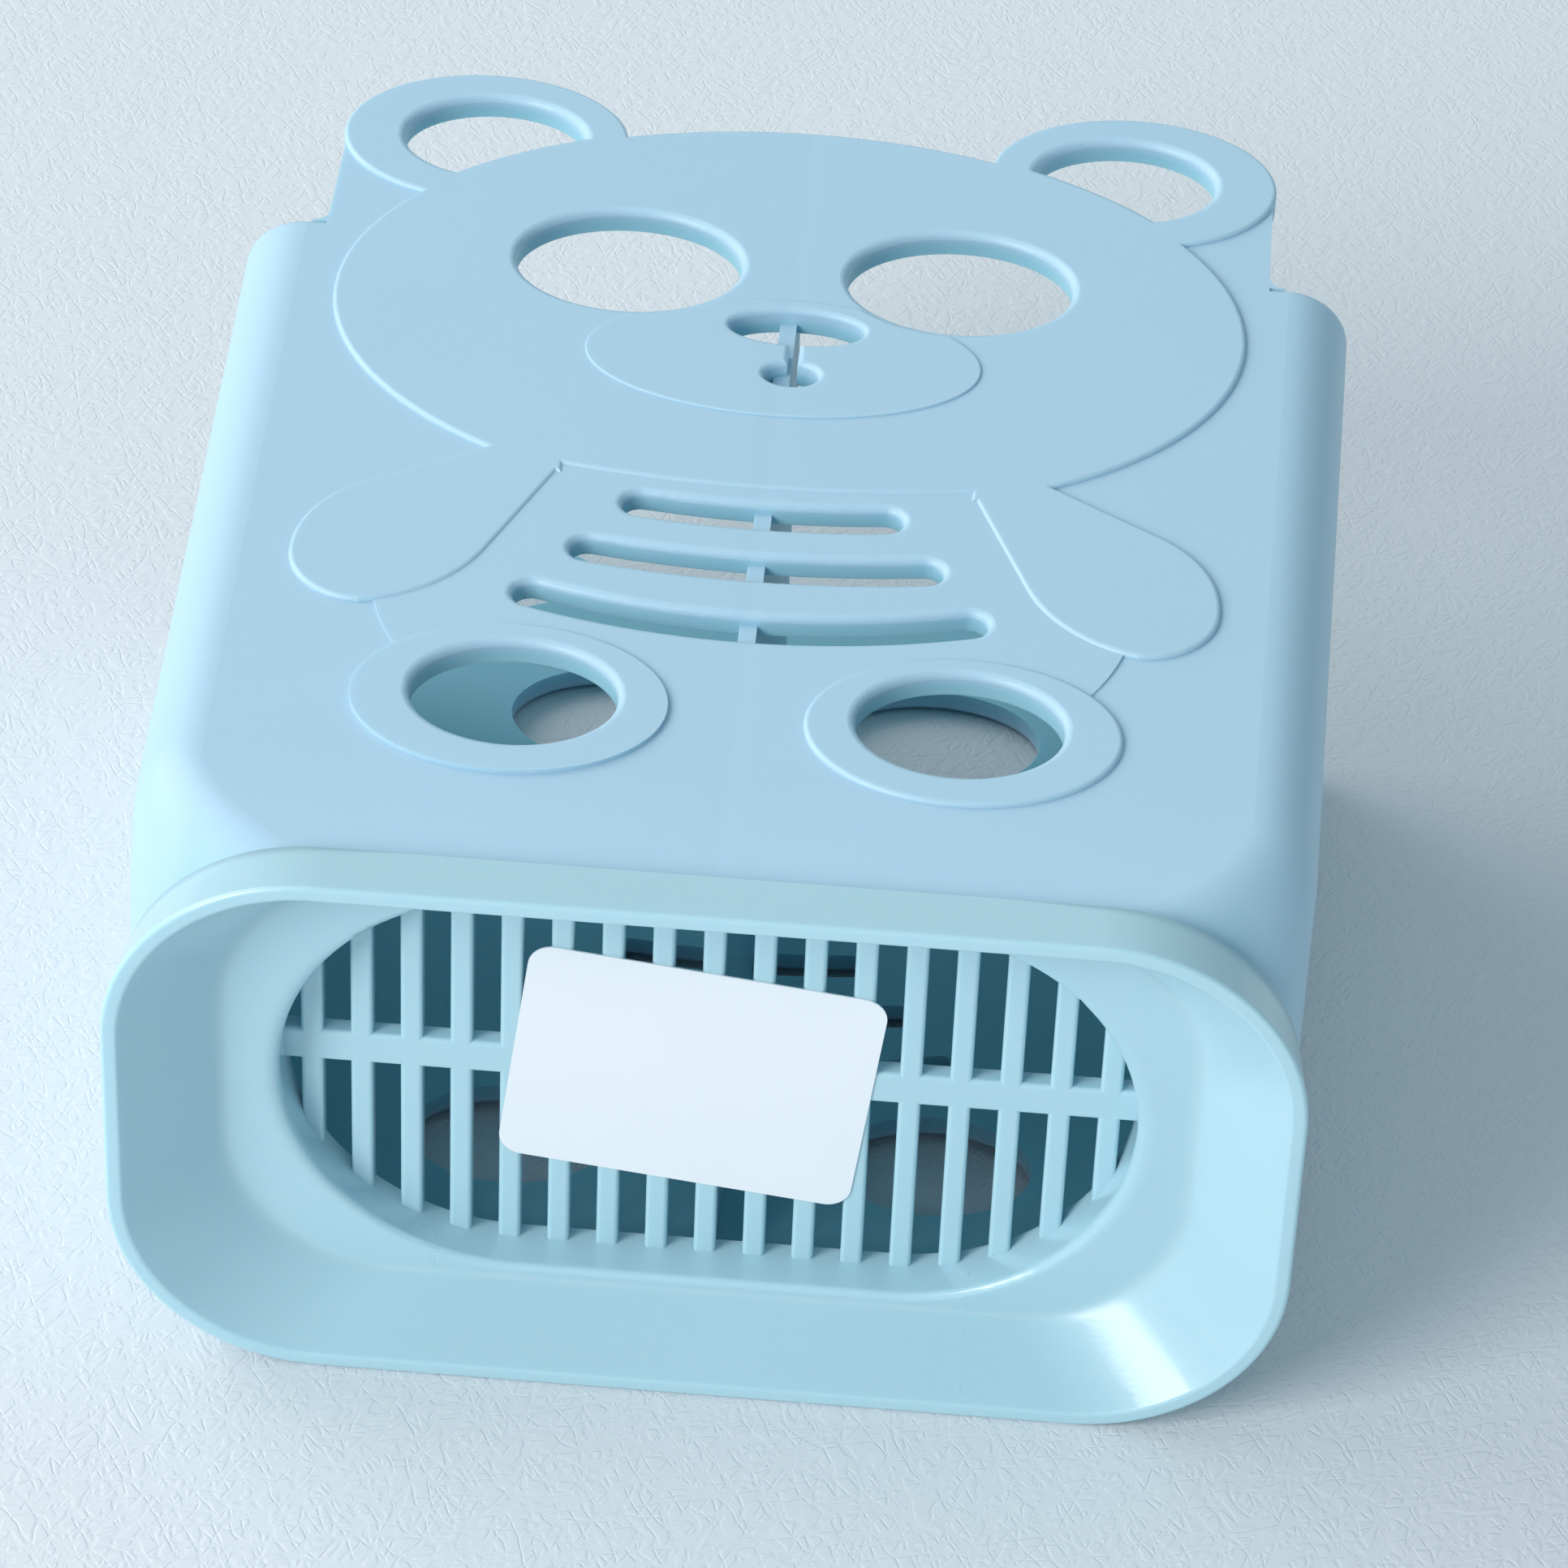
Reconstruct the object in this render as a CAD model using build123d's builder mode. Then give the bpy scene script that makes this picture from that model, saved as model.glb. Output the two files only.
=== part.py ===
from build123d import *
from math import cos, pi, radians, sin, tan
import os

# Chopstick holder with a bear on both faces, in millimetres.
# Origin at the centre of the foot, on the surface it stands on. +Z up, front face towards -Y.

# Overall sizes
height = 160.0              # foot to ear tips
width = 135.0               # across the side walls at their rim
depth = 75.0                # over both faces at the ear tips
rim_height = 126.7          # top of the two side walls
seam_height = 8.4           # where the body stands on the foot
side_draft = 1.09           # degrees, the side walls open upwards
face_draft = 1.47           # degrees, the two faces open upwards

# Moulded body
wall = 2.4
relief = 0.6                # head, ears, arms and paws stand off the wall
torso_relief = 0.3          # the torso stands off the wall
torso_fade = (55.0, 30.0)   # heights between which it sinks back into the wall
muzzle_relief = 0.3         # the muzzle stands off the head
edge_round = 0.5            # soft edge of each raised figure
hole_round = 0.9            # soft edge of each opening
mouth_round = 0.7
rim_round = 0.9
corner_radius = 7.6         # plan corners of the body
corner_radius_low = 21.5    # plan corners where the body meets the foot
tuck = 1.5                  # the body's outside draws in towards the foot
tuck_height = 18.0          # over which it does, and its plan corners grow
tuck_steps = 5
divider_wall = 2.0
divider_top = 122.0
divider_gap = 1.0           # between the divider and the grille

# Bear, given as (x, z) on the face
head_centre = (0.0, 113.6)
head_size = (109.8, 76.8)
ear_centre = (40.2, 146.4)
ear_size = (35.4, 27.2)
ear_hole_centre = (39.1, 146.5)
ear_hole_size = (22.5, 17.0)
ear_hole_gap = 0.9          # between the ear hole and the line of the head
crest_width = 115.0         # plain wall that carries the ears above the side walls
crest_foot_round = 2.0      # where it rises from the rim
eye_centre = (20.1, 122.2)
eye_size = (27.4, 20.4)
muzzle_centre = (0.0, 104.0)
muzzle_size = (47.2, 23.2)
nose_centre = (1.2, 110.3)
nose_size = (16.2, 6.8)
mouth_centre = (1.2, 100.9)
mouth_size = (6.6, 4.5)
lip_line_width = 1.2        # slit between nose and mouth
torso_centre = (0.0, 60.0)
torso_size = (87.0, 68.0)
bib_corner = (23.9, 80.7)   # where the chest ends above the torso
bib_middle = (0.0, 78.7)
elbow = (31.0, 63.5)
palm = (36.4, 56.2)
hand_bottom = (44.2, 52.5)
hand_corner = (50.8, 55.2)
hand_side = (53.3, 61.6)
forearm = (51.9, 68.4)
upper_arm = (46.5, 74.6)
armpit = (32.3, 83.4)
paw_centre = (25.4, 37.05)
paw_size = (35.6, 25.6)
paw_hole_centre = (24.95, 38.1)
paw_hole_size = (23.4, 17.8)
slot_middles = (73.7, 64.0, 52.9)
slot_reaches = (16.3, 21.5, 27.1)
slot_rises = (0.9, 1.5, 3.6)
slot_width = 4.3

# Foot
foot_overhang = (0.9, 2.05)  # how far its rim stands out beyond the body, sideways and forwards
foot_radius = 23.5
foot_flare = 1.0            # the skirt narrows by this much up to the seam
lip = 1.8                   # width of the rim that the foot stands on
lip_round = 0.5
plug_height = 8.5           # collar that the body slips over, above the seam
plug_wall = 1.8
plug_gap = 0.25
floor_height = 10.3         # underside of the foot's floor
floor_wall = 1.6
floor_inset = (8.1, 1.95)   # from the collar in to the end of the dish's sloped walls
floor_radius = 19.0
floor_round = 0.8
well_inset = (6.5, 1.7)     # from there in to the recess of the grille
well_draft = 1.0            # degrees
well_wall = 2.2
grille_height = 15.1        # underside of the grille bars
bar_depth = 2.2
bar_width = 2.5
bar_round = 0.5
bar_pitch = 5.6
bar_count = 17
cross_bar_width = 4.3

# Label
label_size = (40.3, 30.8)
label_radius = 2.8
label_centre = (-2.1, 0.4)
label_turn = 6.8            # degrees
label_thickness = 0.2

os.makedirs("parts", exist_ok=True)

inside = relief + wall
mid_wall = relief + wall / 2


def half_width(z):
    return width / 2 - tan(radians(side_draft)) * (rim_height - z)


def half_depth(z):
    return depth / 2 - tan(radians(face_draft)) * (height - z)


def rounded_plan(z, x_size, y_size, radius):
    with BuildSketch(Plane.XY.offset(z)) as plan:
        RectangleRounded(x_size, y_size, radius)
    return plan.sketch


def body_section(z, thickness=0.0):
    """Plan of the body at one height: its outside, or its straight inside where a wall is given."""
    share = max(0.0, (seam_height + tuck_height - z) / tuck_height) ** 2
    rounded_off = tuck * share
    drawn_in = max(rounded_off, thickness)
    corner = corner_radius + (corner_radius_low - corner_radius) * share
    x_size = 2 * (half_width(z) - drawn_in)
    y_size = 2 * (half_depth(z) - relief - drawn_in)
    return rounded_plan(z, x_size, y_size, corner + rounded_off - drawn_in)


def oval(centre, size, grow=0.0, mode=Mode.ADD):
    with Locations(centre):
        Ellipse(size[0] / 2 + grow, size[1] / 2 + grow, mode=mode)


def face_piece(outline, front, back, soft_edge, fade=()):
    """Piece of the front face: an outline between two depths, cut to the lean of the face.

    Where two heights are given, its front sinks to the panel between them.
    """
    with BuildPart() as piece:
        add(outline.sketch)
        extrude(amount=depth, dir=(0, -1, 0))
        with BuildSketch(Plane.YZ):
            with BuildLine():
                top = height + wall
                Polyline(
                    (front - half_depth(0), 0),
                    (front - half_depth(top), top),
                    (back - half_depth(top), top),
                    (back - half_depth(0), 0),
                    close=True,
                )
            make_face()
        extrude(amount=width, both=True, mode=Mode.INTERSECT)
        if soft_edge:
            fillet(piece.faces().sort_by(Axis.Y)[0].edges(), soft_edge)
    return piece.part


def on_outer_face(edge):
    middle = edge.center()
    return abs(middle.Y) > half_depth(middle.Z) - relief - edge_round / 2


def follows(edge, outline):
    """Whether an edge lies on a drawn outline, seen from the front."""
    middle = edge.center()
    seen = Vertex(middle.X, 0, middle.Z)
    return min(seen.distance_to(drawn) for drawn in outline.sketch.edges()) < edge_round / 10


# Outlines of the bear, drawn on the upright plane of the face
with BuildSketch(Plane.XZ) as crest_outline:
    crest_low = rim_height - 2 * wall
    with Locations((0, (crest_low + ear_centre[1]) / 2)):
        Rectangle(crest_width, ear_centre[1] - crest_low)
    for side in (-1, 1):
        with Locations((side * (crest_width + crest_foot_round) / 2, rim_height + crest_foot_round / 2)):
            Rectangle(crest_foot_round, crest_foot_round)
        with Locations((side * (crest_width / 2 + crest_foot_round), rim_height + crest_foot_round)):
            Circle(crest_foot_round, mode=Mode.SUBTRACT)

with BuildSketch(Plane.XZ) as figure_outline:
    with BuildLine():
        Line(bib_corner, elbow)
        ThreePointArc(elbow, palm, hand_bottom)
        ThreePointArc(hand_bottom, hand_corner, hand_side)
        ThreePointArc(hand_side, forearm, upper_arm)
        Line(upper_arm, armpit)
        Line(armpit, bib_corner)
    make_face()
    oval(ear_centre, ear_size)
    mirror(about=Plane.YZ)
    oval(head_centre, head_size)
    with BuildLine():
        bib_left = (-bib_corner[0], bib_corner[1])
        under_chin = head_centre[1] - head_size[1] / 2 - wall
        ThreePointArc(bib_left, bib_middle, bib_corner)
        Polyline(bib_corner, (bib_corner[0], under_chin), (bib_left[0], under_chin), bib_left)
    make_face(mode=Mode.SUBTRACT)

with BuildSketch(Plane.XZ) as paw_outline:
    oval(paw_centre, paw_size)
    mirror(about=Plane.YZ)

with BuildSketch(Plane.XZ) as torso_outline:
    oval(torso_centre, torso_size)

with BuildSketch(Plane.XZ) as muzzle_outline:
    oval(muzzle_centre, muzzle_size)
    for eye_x in (eye_centre[0], -eye_centre[0]):
        oval((eye_x, eye_centre[1]), eye_size, hole_round + edge_round, Mode.SUBTRACT)

with BuildSketch(Plane.XZ) as window_outline:
    oval(ear_hole_centre, ear_hole_size)
    oval(head_centre, head_size, ear_hole_gap, Mode.SUBTRACT)
    oval(eye_centre, eye_size)
    oval(paw_hole_centre, paw_hole_size)
    mirror(about=Plane.YZ)

with BuildSketch(Plane.XZ) as slot_outline:
    for middle, reach, rise in zip(slot_middles, slot_reaches, slot_rises):
        end = reach - slot_width / 2
        with BuildLine(mode=Mode.PRIVATE) as smile:
            ThreePointArc((-end, middle + rise), (0, middle), (end, middle + rise))
        SlotArc(smile.line.edges()[0], slot_width)

with BuildSketch(Plane.XZ) as mouth_outline:
    oval(nose_centre, nose_size)
    oval(mouth_centre, mouth_size)
    with Locations((nose_centre[0], (nose_centre[1] + mouth_centre[1]) / 2)):
        Rectangle(lip_line_width, nose_centre[1] - mouth_centre[1])

# Body: hollow walls, raised figures on both faces, openings, then the divider
tuck_top = seam_height + tuck_height
tuck_heights = [seam_height + tuck_height * step / tuck_steps for step in range(tuck_steps + 1)]
fade_top, fade_end = torso_fade
sunk = torso_relief * fade_top / (fade_top - fade_end)
with BuildPart() as torso:
    add(face_piece(torso_outline, relief - torso_relief, mid_wall, 0))
    with BuildSketch(Plane.YZ):
        with BuildLine():
            Polyline(
                (relief - torso_relief - half_depth(fade_top), fade_top),
                (relief - torso_relief + sunk - half_depth(0), 0),
                (-depth, 0),
                (-depth, fade_top),
                close=True,
            )
        make_face()
    extrude(amount=width, both=True, mode=Mode.SUBTRACT)

with BuildPart() as face:
    add(torso.part)
    add(face_piece(figure_outline, 0, inside, edge_round))
    add(face_piece(crest_outline, relief, inside, 0))
    fillet(face.faces().sort_by(Axis.Y)[-1].edges(), edge_round)
    add(face_piece(paw_outline, 0, mid_wall, edge_round))
    add(face_piece(muzzle_outline, -muzzle_relief, mid_wall, muzzle_relief / 2))

with BuildPart() as body:
    for thickness, mode in ((0, Mode.ADD), (wall, Mode.SUBTRACT)):
        loft([body_section(z, thickness) for z in tuck_heights], mode=mode)
        loft([body_section(tuck_top, thickness), body_section(rim_height, thickness)], mode=mode)
    fillet(body.faces().sort_by(Axis.Z)[-1].edges(), rim_round)
    add(face.part)
    add(mirror(face.part, about=Plane.XZ, mode=Mode.PRIVATE))

    for outline, soft_edge in (
        (window_outline, hole_round),
        (slot_outline, hole_round),
        (mouth_outline, mouth_round),
    ):
        for side in (-1, 1):
            extrude(outline.sketch, amount=depth, dir=(0, side, 0), mode=Mode.SUBTRACT)
        fillet([edge for edge in body.edges() if on_outer_face(edge) and follows(edge, outline)], soft_edge)

    divider_bottom = grille_height + bar_depth + divider_gap
    low_side = half_depth(divider_bottom) - mid_wall
    high_side = half_depth(divider_top) - mid_wall
    with BuildSketch(Plane.YZ):
        with BuildLine():
            Polyline(
                (-low_side, divider_bottom),
                (low_side, divider_bottom),
                (high_side, divider_top),
                (-high_side, divider_top),
                close=True,
            )
        make_face()
    extrude(amount=divider_wall / 2, both=True)

body.part.label = "body"
export_step(body.part, "parts/body.step")

# Foot: flared skirt, dished underside, recessed grille, and the collar the body slips over
seam_x = 2 * half_width(seam_height)
seam_y = 2 * (half_depth(seam_height) - relief)
foot_x, foot_y = seam_x + 2 * foot_overhang[0], seam_y + 2 * foot_overhang[1]
plug_x, plug_y = seam_x - 2 * (wall + plug_gap), seam_y - 2 * (wall + plug_gap)
plug_radius = corner_radius_low + tuck - wall - plug_gap
floor_x, floor_y = plug_x - 2 * floor_inset[0], plug_y - 2 * floor_inset[1]
well_x, well_y = floor_x - 2 * well_inset[0], floor_y - 2 * well_inset[1]
floor_top = floor_height + floor_wall
grille_top = grille_height + bar_depth


with BuildPart() as grille:
    with BuildSketch(Plane.XY.offset(grille_height)):
        with GridLocations(bar_pitch, 0, bar_count, 1):
            Rectangle(bar_width, well_y)
        Rectangle(well_x, cross_bar_width)
        SlotOverall(well_x, well_y, mode=Mode.INTERSECT)
    extrude(amount=bar_depth)
    bar_edges = grille.faces().sort_by(Axis.Z)[0].edges().filter_by(GeomType.LINE)
    fillet([edge for edge in bar_edges if abs(edge.center().Y) < well_y / 2 - bar_round], bar_round)

with BuildPart() as base:
    skirt_foot = rounded_plan(0, foot_x, foot_y, foot_radius)
    skirt_top = rounded_plan(
        seam_height, foot_x - 2 * foot_flare, foot_y - 2 * foot_flare, foot_radius - foot_flare
    )
    loft([skirt_foot, skirt_top])
    with BuildSketch(Plane.XY.offset(seam_height)):
        RectangleRounded(plug_x, plug_y, plug_radius)
    extrude(amount=floor_top - seam_height)
    with BuildSketch(Plane.XY.offset(floor_top)):
        RectangleRounded(plug_x, plug_y, plug_radius)
        offset(amount=-plug_wall, kind=Kind.INTERSECTION, mode=Mode.SUBTRACT)
    extrude(amount=plug_height + seam_height - floor_top)
    with BuildSketch(Plane.XY.offset(floor_top)):
        SlotOverall(well_x + 2 * well_wall, well_y + 2 * well_wall)
    extrude(amount=grille_top - floor_top)

    dish_rim = rounded_plan(0, foot_x - 2 * lip, foot_y - 2 * lip, foot_radius - lip)
    dish_end = rounded_plan(floor_height, floor_x, floor_y, floor_radius)
    loft([dish_rim, dish_end], mode=Mode.SUBTRACT)
    with BuildSketch(Plane.XY.offset(floor_height)):
        SlotOverall(well_x, well_y)
    extrude(amount=grille_top - floor_height, taper=well_draft, mode=Mode.SUBTRACT)
    dish_floor = base.faces().filter_by(lambda face: abs(face.center().Z - floor_height) < lip_round / 10)
    fillet(dish_floor[0].edges(), floor_round)
    rim_face = base.faces().sort_by(Axis.Z)[0]
    fillet(rim_face.edges(), lip_round)
    add(grille.part)

base.part.label = "base"
export_step(base.part, "parts/base.step")

# Label: a blank sticker across the grille
with BuildPart() as label:
    with BuildSketch(Plane.XY.offset(grille_height - label_thickness)):
        with Locations(Location(label_centre, label_turn)):
            RectangleRounded(*label_size, label_radius)
    extrude(amount=label_thickness)

label.part.label = "label"
export_step(label.part, "parts/label.step")
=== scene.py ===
"""Looks of a bear-faced chopstick holder: moulded plastic, a blank sticker, a pale table."""

import bpy
from bpy.props import FloatProperty, FloatVectorProperty, PointerProperty
from mathutils import Matrix, Vector


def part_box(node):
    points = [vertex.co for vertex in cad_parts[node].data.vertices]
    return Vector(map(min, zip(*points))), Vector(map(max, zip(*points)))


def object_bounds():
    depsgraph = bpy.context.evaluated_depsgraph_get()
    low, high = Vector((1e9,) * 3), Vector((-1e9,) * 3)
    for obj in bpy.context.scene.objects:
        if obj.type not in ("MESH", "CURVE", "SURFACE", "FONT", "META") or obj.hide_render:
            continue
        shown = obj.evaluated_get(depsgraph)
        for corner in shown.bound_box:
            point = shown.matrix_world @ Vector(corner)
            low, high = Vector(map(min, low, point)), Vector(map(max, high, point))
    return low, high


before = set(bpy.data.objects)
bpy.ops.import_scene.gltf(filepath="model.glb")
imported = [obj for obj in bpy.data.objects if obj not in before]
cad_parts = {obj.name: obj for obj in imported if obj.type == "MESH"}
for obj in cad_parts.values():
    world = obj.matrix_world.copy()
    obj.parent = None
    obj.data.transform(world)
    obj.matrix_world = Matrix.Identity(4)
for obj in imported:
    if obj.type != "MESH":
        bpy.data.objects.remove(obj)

bl_info = {
    "name": "Chopstick holder looks",
    "version": (1, 0, 0),
    "blender": (4, 5, 0),
    "location": "View3D > Sidebar > Holder",
    "description": "Finishes the chopstick holder and sets the table, the lamps and the camera",
    "category": "Object",
}

MM = 0.001
CAD_LOW, CAD_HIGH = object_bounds()
BODY_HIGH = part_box("body")[1]
FOOT_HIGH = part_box("base")[1]
ACROSS = Vector((1, 0, 0))

# Places on the body and on the foot
FACE_LEAN = 0.0257  # how far both faces lean out per unit of height
RELIEF = 0.6 * MM  # how far the bear stands off the faces
EDGE_DEPTH = 1.4 * MM  # depth over which the openings' edges take on the painted shade
OPENINGS_REACH = 57 * MM  # all openings are this close to the middle
CORNERS_START = 60 * MM  # and the plain corners begin here
INNER_TOP = 0.8  # share of the height up to which the painted shade inside fades
INNER_FADE = 0.2  # share of the height over which it does
DISH_LOW, DISH_HIGH = 1.5 * MM, 13.5 * MM  # heights between which the dish looks soft
DISH_FADE = 2.0 * MM
DISH_ENDS = (0.45, 0.75)  # shares of half the width over which that softness grows


# Sizes and colours that a user would change


def colour_setting(name, description, default):
    """A linear colour without alpha."""
    return FloatVectorProperty(
        name=name,
        description=description,
        default=default,
        size=3,
        min=0.0,
        max=1.0,
        subtype="COLOR",
    )


def length_setting(name, description, millimetres):
    """A length shown in the scene's own unit."""
    return FloatProperty(
        name=name, description=description, default=millimetres * MM, min=0.0, unit="LENGTH"
    )


def share_setting(name, description, default):
    """A share between none and all."""
    return FloatProperty(name=name, description=description, default=default, min=0.0, max=1.0)


def power_setting(name, description, default):
    """A lamp's power in watts."""
    return FloatProperty(
        name=name, description=description, default=default, min=0.0, unit="POWER"
    )


def direction_setting(name, description, default):
    """A direction of any length."""
    return FloatVectorProperty(
        name=name, description=description, default=default, size=3, subtype="DIRECTION"
    )


class PlasticFinish(bpy.types.PropertyGroup):
    """The moulded parts."""

    body_colour: colour_setting("Body colour", "Pale blue of the body", (0.415, 0.630, 0.765))
    foot_colour: colour_setting("Foot colour", "Greener blue of the foot", (0.420, 0.665, 0.755))
    body_roughness: share_setting("Body roughness", "Satin skin of the body", 0.42)
    foot_roughness: share_setting("Foot roughness", "Smoother skin of the foot", 0.36)
    foot_gloss: share_setting("Foot gloss", "Share of mirror-like sheen on the foot", 0.6)
    dish_softness: length_setting(
        "Dish softness", "Radius by which the dish's inner edges look rounded", 3.0
    )
    sink_width: length_setting("Sink mark width", "Half the width of the dip over the divider", 2.2)
    sink_depth: length_setting("Sink mark depth", "Depth of the dip over the divider", 0.03)
    # Painted shade: a darker, deeper blue laid on the inward walls and openings' edges, standing
    # for the shade inside the hollow
    painted_shade_colour: colour_setting(
        "Inner colour", "Deeper blue of the walls inside", (0.13, 0.52, 0.62)
    )
    # Painted light: the painted shade eases toward the ears, as if light came in through the open
    # top
    crest_shade_share: share_setting(
        "Crest share", "How much of the inner colour the walls show at the ears", 0.6
    )
    # Painted shade on the openings' edges: a deeper teal standing for light passed through the thin
    # plastic
    edge_shade_share: share_setting(
        "Edge share", "How much of the inner colour the openings' edges show", 0.4
    )
    glow_depth: length_setting("Glow depth", "How far light spreads inside the plastic", 2.0)
    glow: share_setting("Glow", "Share of the light that spreads inside the plastic", 0.3)
    grain_size: length_setting("Grain size", "Width of one grain of the moulded skin", 0.5)
    grain_depth: length_setting("Grain depth", "Height of the moulded skin's grain", 0.01)


class LabelFinish(bpy.types.PropertyGroup):
    """The blank sticker."""

    paper_colour: colour_setting("Paper colour", "White of the coated paper", (0.80, 0.86, 0.90))
    roughness: share_setting("Roughness", "Sheen of the coated paper", 0.38)
    fibre_size: length_setting("Fibre size", "Width of the paper's fibres", 0.3)
    fibre_depth: length_setting("Fibre depth", "Height of the paper's fibres", 0.006)


class StageSetting(bpy.types.PropertyGroup):
    """Table, lamps, world and camera."""

    table_colour: colour_setting(
        "Table colour", "Pale embossed cloth of the table", (0.715, 0.780, 0.815)
    )
    table_size: length_setting("Table size", "Side of the square table", 4000.0)
    grain_size: length_setting("Grain size", "Width of one grain of the table", 0.4)
    grain_depth: length_setting("Grain depth", "Height of the table's grain", 0.02)
    crease_size: length_setting(
        "Crease size", "Distance between the table's embossed creases", 1.9
    )
    crease_depth: length_setting("Crease depth", "Depth of the embossed creases", 0.05)
    world_colour: colour_setting("World colour", "Even light of the room", (0.765, 0.92, 1.0))
    world_strength: FloatProperty(
        name="World strength", description="Brightness of the room", default=0.50, min=0.0
    )
    backdrop_colour: colour_setting(
        "Backdrop colour", "Pale wall seen past the table", (0.80, 0.86, 0.90)
    )
    window_colour: colour_setting(
        "Window colour", "Tint of both lamps on the left", (1.0, 0.935, 0.92)
    )
    window_power: power_setting("Window power", "Large lamp on the left, at the foot end", 37.0)
    far_power: power_setting("Far power", "Weaker lamp on the left, past the ears", 30.0)
    back_power: power_setting("Back power", "Lamp behind the table, for the holder's back", 9.0)
    camera_place: FloatVectorProperty(
        name="Camera place",
        description="Where the camera stands",
        default=(34.98 * MM, -483.30 * MM, -541.68 * MM),
        size=3,
        subtype="TRANSLATION",
    )
    camera_aim: direction_setting(
        "Camera aim", "Direction the camera looks in", (-0.039599, 0.620473, 0.783228)
    )
    camera_up: direction_setting(
        "Camera up", "Direction that is up in the picture", (-0.074865, -0.783481, 0.616889)
    )
    lens: FloatProperty(
        name="Lens", description="Focal length on a 36 mm sensor", default=151.446, min=1.0
    )


# Helpers for node trees

FLOAT = "NodeSocketFloat"
COLOUR = "NodeSocketColor"


def add_node(tree, kind, **settings):
    """A new node with its properties set."""
    node = tree.nodes.new(kind)
    for name, value in settings.items():
        setattr(node, name, value)
    return node


def feed(tree, value, target):
    """Joins an output socket to an input, or sets the input to a plain value."""
    if isinstance(value, bpy.types.NodeSocket):
        tree.links.new(value, target)
    else:
        target.default_value = value


def set_inputs(tree, node, **values):
    """Feeds input sockets; an underscore in a name stands for a space."""
    for name, value in values.items():
        feed(tree, value, node.inputs[name.replace("_", " ")])


def calc(tree, operation, *values, **settings):
    """The result of a sum on numbers and sockets."""
    node = add_node(tree, "ShaderNodeMath", operation=operation, **settings)
    for value, target in zip(values, node.inputs):
        feed(tree, value, target)
    return node.outputs[0]


def calc_vector(tree, operation, first, second):
    """The same on two vectors; a dot product gives a number."""
    node = add_node(tree, "ShaderNodeVectorMath", operation=operation)
    feed(tree, first, node.inputs[0])
    feed(tree, second, node.inputs[1])
    return node.outputs["Value" if operation == "DOT_PRODUCT" else "Vector"]


def ramp(tree, value, start, full):
    """A smooth rise from none at one value to all at another."""
    node = add_node(tree, "ShaderNodeMapRange", interpolation_type="SMOOTHSTEP")
    set_inputs(tree, node, Value=value, From_Min=start, From_Max=full)
    return node.outputs["Result"]


def cloud(tree, place, scale, **values):
    """A soft random pattern between none and all."""
    node = add_node(tree, "ShaderNodeTexNoise")
    set_inputs(tree, node, Vector=place, Scale=scale, **values)
    return node.outputs["Fac"]


def surface_place(tree):
    """Place and normal on the piece, in its own frame."""
    outputs = add_node(tree, "ShaderNodeTexCoord").outputs
    return outputs["Object"], outputs["Normal"]


def split(tree, vector):
    """The outputs X, Y and Z of a vector."""
    node = add_node(tree, "ShaderNodeSeparateXYZ")
    feed(tree, vector, node.inputs[0])
    return node.outputs


def new_group(name, inputs, outputs):
    """A shader node group, with the sockets that it is given and those that it feeds."""
    group = bpy.data.node_groups.new(name, "ShaderNodeTree")
    for socket, kind, default in inputs:
        made = group.interface.new_socket(name=socket, in_out="INPUT", socket_type=kind)
        if default is not None:
            made.default_value = default
    for socket, kind in outputs:
        group.interface.new_socket(name=socket, in_out="OUTPUT", socket_type=kind)
    given = add_node(group, "NodeGroupInput").outputs
    result = add_node(group, "NodeGroupOutput").inputs
    return group, given, result


def use_group(tree, name, make, **values):
    """Places the shared group in a tree, building it the first time, and gives its outputs."""
    group = bpy.data.node_groups.get(name) or make(name)
    node = add_node(tree, "ShaderNodeGroup", node_tree=group)
    set_inputs(tree, node, **values)
    return node.outputs


# Effects that materials share


def make_grain(name):
    """Fine grain: a height, and a roughness that drifts over the surface."""
    group, given, result = new_group(
        name,
        [
            ("Size", FLOAT, 0.5 * MM),
            ("Depth", FLOAT, 0.01 * MM),
            ("Roughness", FLOAT, 0.4),
            ("Drift", FLOAT, 0.05),
        ],
        [("Height", FLOAT), ("Roughness", FLOAT)],
    )
    place, _ = surface_place(group)
    fine = cloud(group, place, calc(group, "DIVIDE", 1.0, given["Size"]), Detail=2.0, Roughness=0.6)
    broad = cloud(group, place, 60.0, Detail=3.0)
    drift = calc(group, "MULTIPLY", calc(group, "SUBTRACT", broad, 0.5), given["Drift"])
    feed(group, calc(group, "MULTIPLY", fine, given["Depth"]), result["Height"])
    feed(group, calc(group, "ADD", drift, given["Roughness"]), result["Roughness"])
    return group


def make_tint(name):
    """Slow change of a colour's brightness over a surface."""
    group, given, result = new_group(
        name,
        [("Colour", COLOUR, None), ("Scale", FLOAT, 25.0), ("Amount", FLOAT, 0.05)],
        [("Colour", COLOUR)],
    )
    place, _ = surface_place(group)
    soft = cloud(group, place, given["Scale"], Detail=3.0, Roughness=0.5)
    above = calc(group, "MULTIPLY_ADD", soft, given["Amount"], 1.0)
    around = calc(group, "MULTIPLY_ADD", given["Amount"], -0.5, above)
    tinted = add_node(group, "ShaderNodeVectorMath", operation="SCALE")
    feed(group, given["Colour"], tinted.inputs[0])
    feed(group, around, tinted.inputs["Scale"])
    feed(group, tinted.outputs[0], result["Colour"])
    return group


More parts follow.
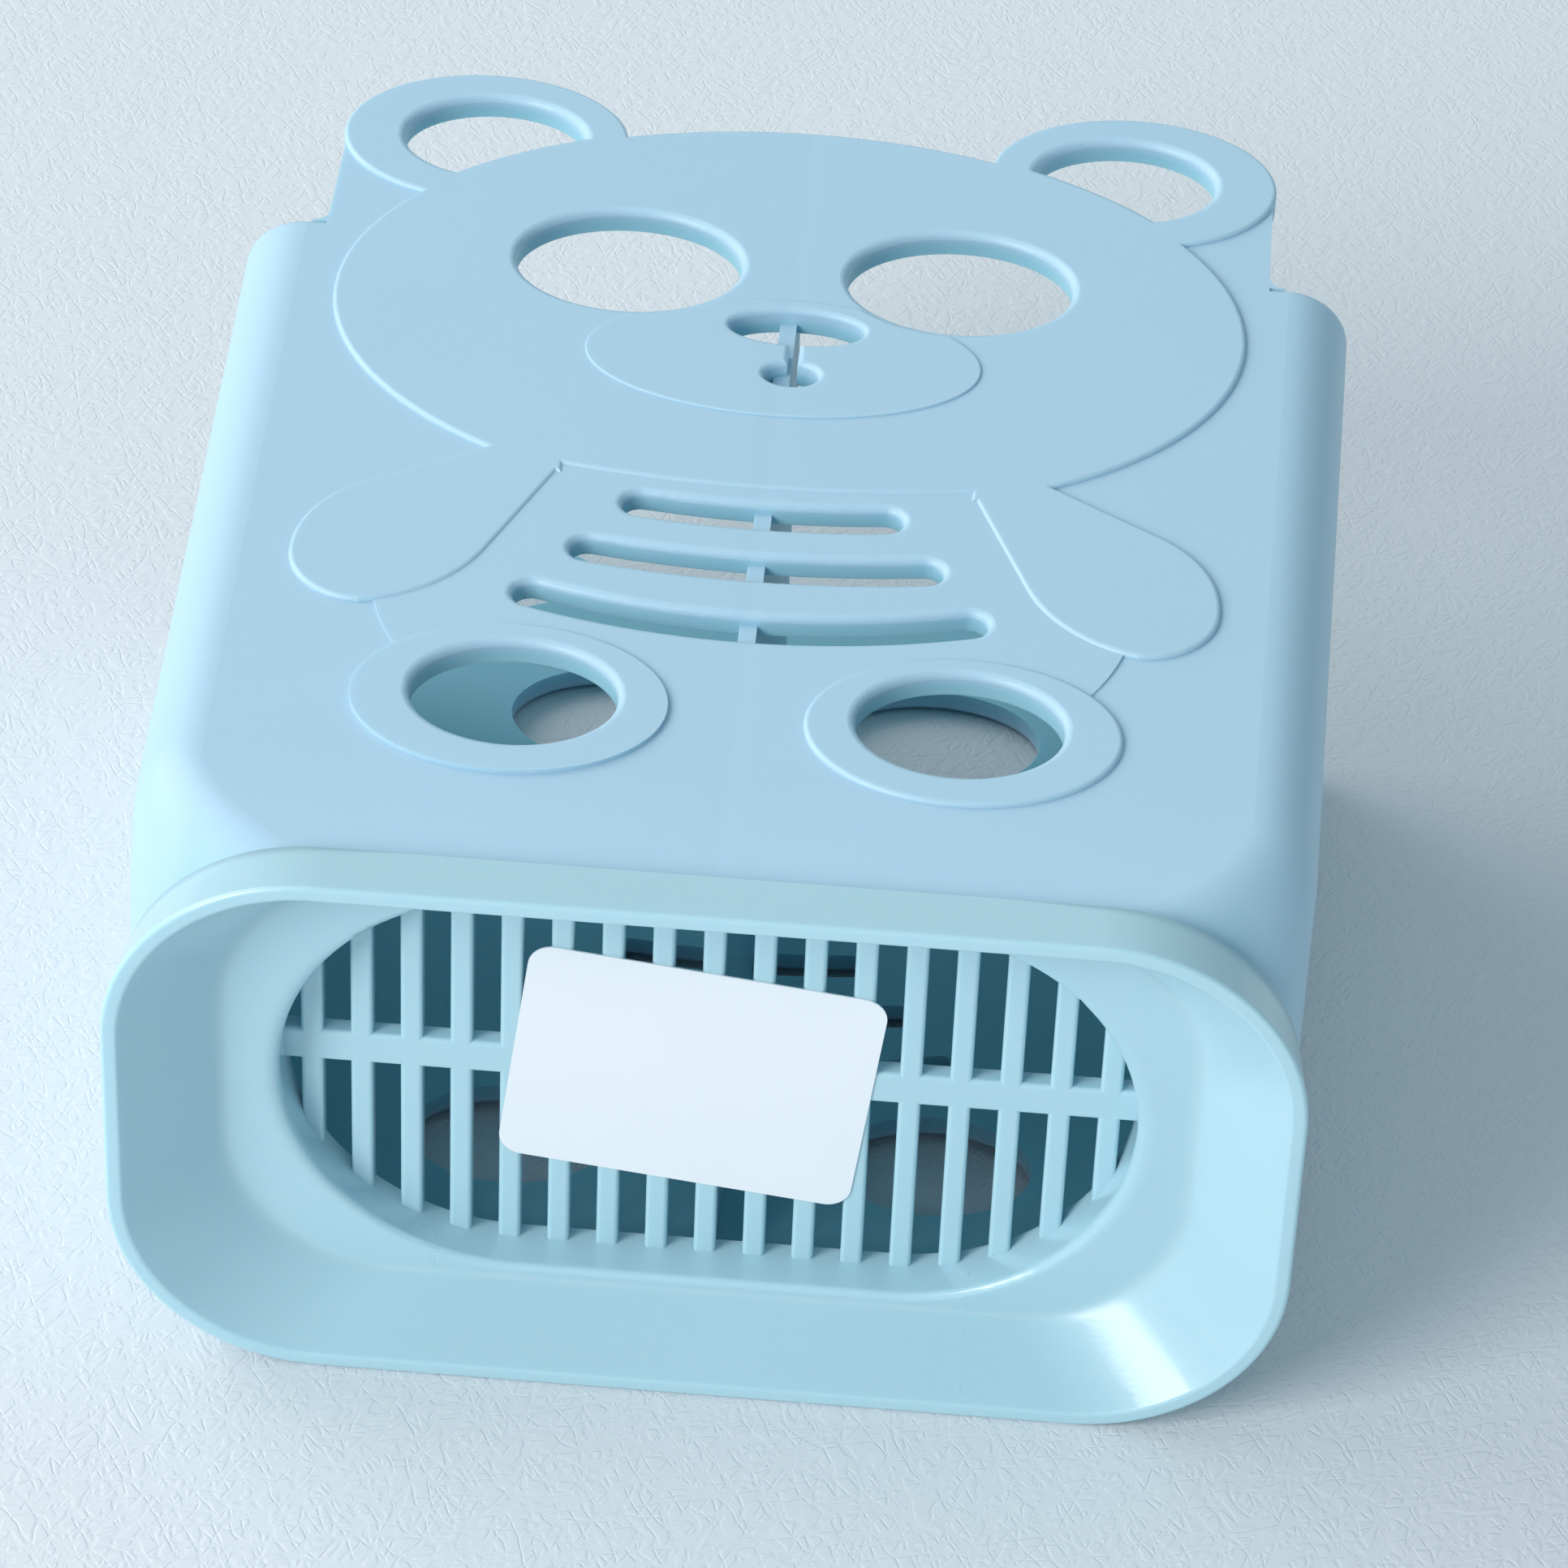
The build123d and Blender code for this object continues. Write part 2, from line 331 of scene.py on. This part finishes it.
def make_inside(name):
    """Masks the faces that look inwards: their normal points at the holder's upright axis."""
    group, given, result = new_group(
        name, [("Width", FLOAT, 1.0), ("Depth", FLOAT, 1.0)], [("Mask", FLOAT)]
    )
    place, normal = surface_place(group)
    size = add_node(group, "ShaderNodeCombineXYZ")
    set_inputs(group, size, X=given["Width"], Y=given["Depth"], Z=1.0)
    share = calc_vector(group, "DIVIDE", place, size.outputs["Vector"])
    level = calc_vector(group, "MULTIPLY", share, (-1.0, -1.0, 0.0))
    inward = calc_vector(group, "DOT_PRODUCT", level, normal)
    slanting, facing = 0.76, 0.86
    feed(group, ramp(group, inward, slanting, facing), result["Mask"])
    return group


def make_band(name):
    """Masks a band of heights, with soft ends."""
    group, given, result = new_group(
        name,
        [("Low", FLOAT, 0.0), ("High", FLOAT, 0.01), ("Softness", FLOAT, 0.002)],
        [("Mask", FLOAT)],
    )
    place, _ = surface_place(group)
    height = split(group, place)["Z"]
    over = calc(group, "ADD", given["Low"], given["Softness"])
    under = calc(group, "SUBTRACT", given["High"], given["Softness"])
    rise = ramp(group, height, given["Low"], over)
    fall = ramp(group, height, given["High"], under)
    feed(group, calc(group, "MULTIPLY", rise, fall), result["Mask"])
    return group


def make_edges(name):
    """Masks the openings' edges: under the skin of both faces, where the surface looks sideways."""
    group, given, result = new_group(
        name,
        [
            ("Foot", FLOAT, 0.03),
            ("Lean", FLOAT, 0.0),
            ("Skin", FLOAT, 0.001),
            ("Softness", FLOAT, 0.001),
        ],
        [("Mask", FLOAT)],
    )
    place, normal = surface_place(group)
    axes = split(group, place)
    face = calc(group, "MULTIPLY_ADD", axes["Z"], given["Lean"], given["Foot"])
    depth = calc(group, "SUBTRACT", face, calc(group, "ABSOLUTE", axes["Y"]))
    full = calc(group, "ADD", given["Skin"], given["Softness"])
    below = ramp(group, depth, given["Skin"], full)
    outward = calc(group, "ABSOLUTE", split(group, normal)["Y"])
    sideways = calc(group, "SUBTRACT", 1.0, outward)
    feed(group, calc(group, "MULTIPLY", below, sideways), result["Mask"])
    return group


def make_ends(name):
    """Masks by the distance from the middle of the long side, rising from start to full."""
    group, given, result = new_group(
        name, [("Start", FLOAT, 0.0), ("Full", FLOAT, 0.01)], [("Mask", FLOAT)]
    )
    place, _ = surface_place(group)
    away = calc(group, "ABSOLUTE", split(group, place)["X"])
    feed(group, ramp(group, away, given["Start"], given["Full"]), result["Mask"])
    return group


def make_creases(name):
    """Crossing creases, each layer stretched in its own direction."""
    group, given, result = new_group(
        name, [("Size", FLOAT, 0.001), ("Depth", FLOAT, 0.0001)], [("Height", FLOAT)]
    )
    place, _ = surface_place(group)
    frequency = calc(group, "DIVIDE", 1.0, given["Size"])
    stretch = (1.0, 1.0, 3.5)
    half_line = 0.07
    crossed = None
    for angle in (0.45, -0.5, 1.2):
        turned = add_node(group, "ShaderNodeMapping", vector_type="TEXTURE")
        set_inputs(group, turned, Vector=place, Rotation=(0.0, angle, 0.0), Scale=stretch)
        soft = cloud(group, turned.outputs["Vector"], frequency, Detail=1.5, Roughness=0.5)
        away = calc(group, "ABSOLUTE", calc(group, "SUBTRACT", soft, 0.5))
        line = ramp(group, away, 0.0, half_line)
        crossed = line if crossed is None else calc(group, "MULTIPLY", crossed, line)
    feed(group, calc(group, "MULTIPLY", crossed, given["Depth"]), result["Height"])
    return group


# Materials


def opaque(colour):
    """A colour with full alpha."""
    return (*colour, 1.0)


def new_material(name, colour, scale, amount):
    """A material of one Principled shader, with a slowly changing colour."""
    material = bpy.data.materials.new(name)
    material.use_nodes = True
    tree = material.node_tree
    tree.nodes.clear()
    shader = add_node(tree, "ShaderNodeBsdfPrincipled")
    output = add_node(tree, "ShaderNodeOutputMaterial")
    feed(tree, shader.outputs["BSDF"], output.inputs["Surface"])
    tint = use_group(
        tree, "slow_tint", make_tint, Colour=opaque(colour), Scale=scale, Amount=amount
    )
    feed(tree, tint["Colour"], shader.inputs["Base Color"])
    return material, tree, shader


def add_grain(tree, shader, size, depth, roughness, drift):
    """Feeds grain into the shader's roughness and normal."""
    grain = use_group(
        tree, "moulded_grain", make_grain, Size=size, Depth=depth, Roughness=roughness, Drift=drift
    )
    bump = add_node(tree, "ShaderNodeBump")
    set_inputs(tree, bump, Distance=1.0, Strength=1.0, Height=grain["Height"])
    set_inputs(tree, shader, Normal=bump.outputs["Normal"], Roughness=grain["Roughness"])
    return bump


def add_height(tree, bump, height):
    """Adds another height to what already feeds a bump."""
    before = bump.inputs["Height"].links[0].from_socket
    feed(tree, calc(tree, "ADD", before, height), bump.inputs["Height"])


def lay_over(tree, shader, mask, colour):
    """Lays a colour over the shader's own, where the mask says so."""
    base = shader.inputs["Base Color"]
    mix = add_node(tree, "ShaderNodeMix", data_type="RGBA")
    feed(tree, mask, mix.inputs["Factor"])
    feed(tree, base.links[0].from_socket, mix.inputs[6])
    feed(tree, opaque(colour), mix.inputs[7])
    feed(tree, mix.outputs[2], base)


def plastic(name, colour, roughness, finish):
    """Slightly translucent moulded plastic."""
    material, tree, shader = new_material(name, colour, scale=22.0, amount=0.05)
    set_inputs(
        tree,
        shader,
        IOR=1.49,
        Subsurface_Weight=finish.glow,
        Subsurface_Scale=finish.glow_depth,
        Subsurface_Radius=(0.45, 0.85, 1.0),
    )
    bump = add_grain(tree, shader, finish.grain_size, finish.grain_depth, roughness, drift=0.08)
    return material, tree, shader, bump


def finish_node(name, material):
    """Gives a carried-over node its material."""
    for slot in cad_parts[name].material_slots:
        slot.material = material


# Pieces


class HOLDER_OT_finish_body(bpy.types.Operator):
    """Gives the hollow body its satin pale-blue plastic"""

    bl_idname = "holder.finish_body"
    bl_label = "Finish body"

    def execute(self, context):
        finish = context.scene.holder_plastic
        material, tree, shader, bump = plastic(
            "satin_blue_plastic", finish.body_colour, finish.body_roughness, finish
        )
        # Painted shade: the inward walls get a darker, deeper blue, easing off toward the ears
        inside = use_group(
            tree, "inward_faces", make_inside, Width=BODY_HIGH.x, Depth=BODY_HIGH.y
        )
        low = use_group(
            tree,
            "height_band",
            make_band,
            Low=-BODY_HIGH.z,
            High=BODY_HIGH.z * INNER_TOP,
            Softness=BODY_HIGH.z * INNER_FADE,
        )
        crest = finish.crest_shade_share
        deep = calc(tree, "MULTIPLY_ADD", low["Mask"], 1.0 - crest, crest)
        walls = calc(tree, "MULTIPLY", inside["Mask"], deep)
        # Painted shade on the openings' side walls, a deeper teal standing for light passed through
        # the thin plastic
        edges = use_group(
            tree,
            "opening_edges",
            make_edges,
            Foot=BODY_HIGH.y - BODY_HIGH.z * FACE_LEAN,
            Lean=FACE_LEAN,
            Skin=RELIEF,
            Softness=EDGE_DEPTH,
        )
        middle = use_group(
            tree, "both_ends", make_ends, Start=CORNERS_START, Full=OPENINGS_REACH
        )
        thin = calc(tree, "MULTIPLY", edges["Mask"], middle["Mask"])
        shaded_rims = calc(tree, "MULTIPLY", thin, finish.edge_shade_share)
        # Lays the painted shade colour over the body colour on the walls inside and on the
        # openings' edges
        lay_over(tree, shader, calc(tree, "MAXIMUM", walls, shaded_rims), finish.painted_shade_colour)
        beside = use_group(tree, "both_ends", make_ends, Start=0.0, Full=finish.sink_width)
        add_height(tree, bump, calc(tree, "MULTIPLY", beside["Mask"], finish.sink_depth))
        finish_node("body", material)
        return {"FINISHED"}


class HOLDER_OT_finish_foot(bpy.types.Operator):
    """Gives the foot with its grille a glossier pale-blue plastic"""

    bl_idname = "holder.finish_foot"
    bl_label = "Finish foot"

    def execute(self, context):
        finish = context.scene.holder_plastic
        material, tree, shader, bump = plastic(
            "glossy_blue_plastic", finish.foot_colour, finish.foot_roughness, finish
        )
        dish = use_group(
            tree, "height_band", make_band, Low=DISH_LOW, High=DISH_HIGH, Softness=DISH_FADE
        )
        start, full = (share * BODY_HIGH.x for share in DISH_ENDS)
        ends = use_group(tree, "both_ends", make_ends, Start=start, Full=full)
        reach = calc(tree, "MULTIPLY", dish["Mask"], ends["Mask"])
        soft = add_node(tree, "ShaderNodeBevel", samples=6)
        radius = calc(tree, "MULTIPLY", reach, finish.dish_softness)
        feed(tree, radius, soft.inputs["Radius"])
        feed(tree, soft.outputs["Normal"], bump.inputs["Normal"])
        set_inputs(
            tree,
            shader,
            Coat_Weight=finish.foot_gloss,
            Coat_Roughness=0.09,
            Coat_Normal=bump.outputs["Normal"],
        )
        finish_node("base", material)
        return {"FINISHED"}


class HOLDER_OT_finish_label(bpy.types.Operator):
    """Gives the sticker its blank coated paper"""

    bl_idname = "holder.finish_label"
    bl_label = "Finish label"

    def execute(self, context):
        finish = context.scene.holder_label
        material, tree, shader = new_material(
            "blank_coated_paper", finish.paper_colour, scale=90.0, amount=0.04
        )
        add_grain(
            tree, shader, finish.fibre_size, finish.fibre_depth, finish.roughness, drift=0.1
        )
        finish_node("label", material)
        return {"FINISHED"}


# Stage


def table_material(stage):
    """Pale cloth with embossed creases, seen only from the side that the holder lies on."""
    material, tree, shader = new_material(
        "embossed_table", stage.table_colour, scale=3.0, amount=0.04
    )
    bump = add_grain(
        tree, shader, stage.grain_size, stage.grain_depth, roughness=0.55, drift=0.1
    )
    creases = use_group(
        tree, "crossed_creases", make_creases, Size=stage.crease_size, Depth=stage.crease_depth
    )
    add_height(tree, bump, creases["Height"])
    behind = add_node(tree, "ShaderNodeNewGeometry").outputs["Backfacing"]
    passed = add_node(tree, "ShaderNodeLightPath").outputs["Transparent Depth"]
    clear = add_node(tree, "ShaderNodeBsdfTransparent")
    either = add_node(tree, "ShaderNodeMixShader")
    feed(tree, calc(tree, "ADD", behind, passed, use_clamp=True), either.inputs["Fac"])
    feed(tree, shader.outputs["BSDF"], either.inputs[1])
    feed(tree, clear.outputs["BSDF"], either.inputs[2])
    feed(tree, either.outputs["Shader"], tree.nodes["Material Output"].inputs["Surface"])
    return material


def lying_plane():
    """Point and unit normal of the table that the holder's back lies on."""
    heel = Vector((0, FOOT_HIGH.y, 0))
    crown = Vector((0, BODY_HIGH.y, BODY_HIGH.z))
    return heel, ACROSS.cross((crown - heel).normalized()).normalized()


def add_table(stage):
    """A large square table against the holder's back."""
    heel, normal = lying_plane()
    along = normal.cross(ACROSS).normalized()
    reach = stage.table_size / 2
    corners = [
        heel + ACROSS * x * reach + along * z * reach
        for x, z in ((-1, -1), (1, -1), (1, 1), (-1, 1))
    ]
    mesh = bpy.data.meshes.new("table")
    mesh.from_pydata(corners, [], [(0, 1, 2, 3)])
    mesh.materials.append(table_material(stage))
    if mesh.polygons[0].normal.y > 0:
        mesh.flip_normals()
    table = bpy.data.objects.new("table", mesh)
    bpy.context.collection.objects.link(table)


def add_lamp(name, aim, away, size, power, colour=(1, 1, 1)):
    """A square soft lamp, so far away from the point that it faces."""
    lamp = bpy.data.lights.new(name, "AREA")
    lamp.size = size
    lamp.energy = power
    lamp.color = colour
    stand = bpy.data.objects.new(name, lamp)
    stand.location = aim + Vector(away)
    stand.rotation_euler = (-Vector(away)).to_track_quat("-Z", "Y").to_euler()
    bpy.context.collection.objects.link(stand)


def add_world(stage):
    """Even light from all round, behind which the camera sees a pale wall."""
    world = bpy.data.worlds.new("room")
    world.use_nodes = True
    tree = world.node_tree
    room = tree.nodes["Background"]
    set_inputs(tree, room, Color=opaque(stage.world_colour), Strength=stage.world_strength)
    wall = add_node(tree, "ShaderNodeBackground")
    set_inputs(tree, wall, Color=opaque(stage.backdrop_colour), Strength=1.0)
    seen = add_node(tree, "ShaderNodeLightPath").outputs["Is Camera Ray"]
    either = add_node(tree, "ShaderNodeMixShader")
    feed(tree, seen, either.inputs["Fac"])
    feed(tree, room.outputs["Background"], either.inputs[1])
    feed(tree, wall.outputs["Background"], either.inputs[2])
    feed(tree, either.outputs["Shader"], tree.nodes["World Output"].inputs["Surface"])
    bpy.context.scene.world = world


def add_camera(stage):
    """The camera over the foot end, looking along the lying holder."""
    lens = bpy.data.cameras.new("camera")
    lens.lens = stage.lens
    lens.sensor_width = 36.0
    lens.clip_start, lens.clip_end = 0.01, 20.0
    camera = bpy.data.objects.new("camera", lens)
    aim = Vector(stage.camera_aim).normalized()
    right = aim.cross(Vector(stage.camera_up)).normalized()
    up = right.cross(aim)
    turn = Matrix((right, up, -aim)).transposed().to_4x4()
    camera.matrix_world = Matrix.Translation(stage.camera_place) @ turn
    bpy.context.collection.objects.link(camera)
    bpy.context.scene.camera = camera


class HOLDER_OT_set_stage(bpy.types.Operator):
    """Builds the table, the lamps, the world and the camera"""

    bl_idname = "holder.set_stage"
    bl_label = "Set stage"

    def execute(self, context):
        stage = context.scene.holder_stage
        middle = (CAD_LOW + CAD_HIGH) / 2
        add_table(stage)
        add_lamp(
            "window",
            middle,
            away=(-1.35, -1.05, -1.40),
            size=1.1,
            power=stage.window_power,
            colour=stage.window_colour,
        )
        add_lamp(
            "far_window",
            middle,
            away=(-1.8, -1.3, 0.8),
            size=2.0,
            power=stage.far_power,
            colour=stage.window_colour,
        )
        add_lamp("back", middle, away=(0.5, 1.2, 0.6), size=1.0, power=stage.back_power)
        add_world(stage)
        add_camera(stage)
        context.scene.view_settings.view_transform = "Standard"
        return {"FINISHED"}


# Panel and start


class HOLDER_PT_steps(bpy.types.Panel):
    """Lists the steps and their settings"""

    bl_idname = "HOLDER_PT_steps"
    bl_label = "Chopstick holder"
    bl_space_type = "VIEW_3D"
    bl_region_type = "UI"
    bl_category = "Holder"

    def draw(self, context):
        for operator, settings in STEPS:
            box = self.layout.box()
            box.operator(operator.bl_idname)
            group = getattr(context.scene, settings)
            for name in type(group).__annotations__:
                box.prop(group, name)


STEPS = (
    (HOLDER_OT_finish_body, "holder_plastic"),
    (HOLDER_OT_finish_foot, "holder_plastic"),
    (HOLDER_OT_finish_label, "holder_label"),
    (HOLDER_OT_set_stage, "holder_stage"),
)
SETTINGS = {
    "holder_plastic": PlasticFinish,
    "holder_label": LabelFinish,
    "holder_stage": StageSetting,
}
CLASSES = (*SETTINGS.values(), *(operator for operator, _ in STEPS), HOLDER_PT_steps)


def register():
    """Makes the settings, operators and panel known to Blender."""
    for cls in CLASSES:
        bpy.utils.register_class(cls)
    for name, group in SETTINGS.items():
        setattr(bpy.types.Scene, name, PointerProperty(type=group))


def unregister():
    """Removes what register added."""
    for name in SETTINGS:
        delattr(bpy.types.Scene, name)
    for cls in reversed(CLASSES):
        bpy.utils.unregister_class(cls)


def main():
    """Builds everything in order."""
    register()
    for operator, _ in STEPS:
        group, name = operator.bl_idname.split(".")
        getattr(getattr(bpy.ops, group), name)()


if __name__ == "__main__":
    main()
